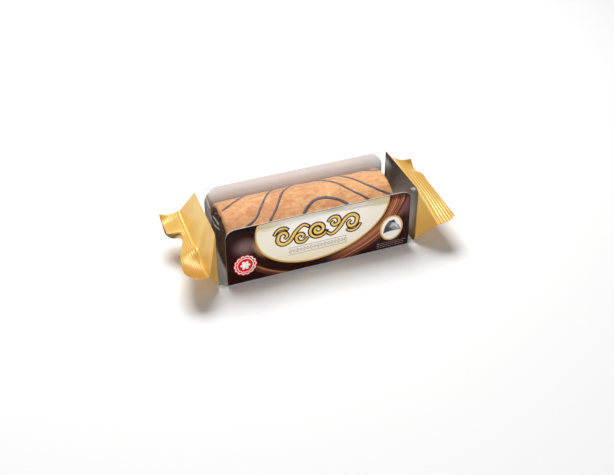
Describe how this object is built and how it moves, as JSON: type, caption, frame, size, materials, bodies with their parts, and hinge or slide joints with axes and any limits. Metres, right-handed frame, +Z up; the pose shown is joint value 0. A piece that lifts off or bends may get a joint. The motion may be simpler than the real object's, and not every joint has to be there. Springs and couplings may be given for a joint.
{
  "type": "packaged swiss roll cake",
  "caption": "Whole iced swiss roll cake on a folded card tray, sealed in a clear film wrap with gold crimped ends.",
  "frame": {"origin": "middle of the tray's flat underside, which the pack rests on", "axes": "+X along the pack from one sealed end to the other, towards the end on the right of the printed front, +Y from the front to the back, +Z up"},
  "size_m": [0.291, 0.1172, 0.0706],
  "materials": {
    "clear_film": "glossy clear film",
    "gold_film": "satin gold film",
    "printed_card": "coated dark brown print",
    "white_card": "uncoated white card",
    "cream_print": "coated cream print",
    "gold_print": "gold ink",
    "red_print": "red ink",
    "sponge": "soft baked crumb",
    "filling": "soft cocoa cream",
    "drizzle": "set dark icing"
  },
  "bodies": {
    "root": {"sealed_pack": "clear_film"}
  },
  "joints": []
}
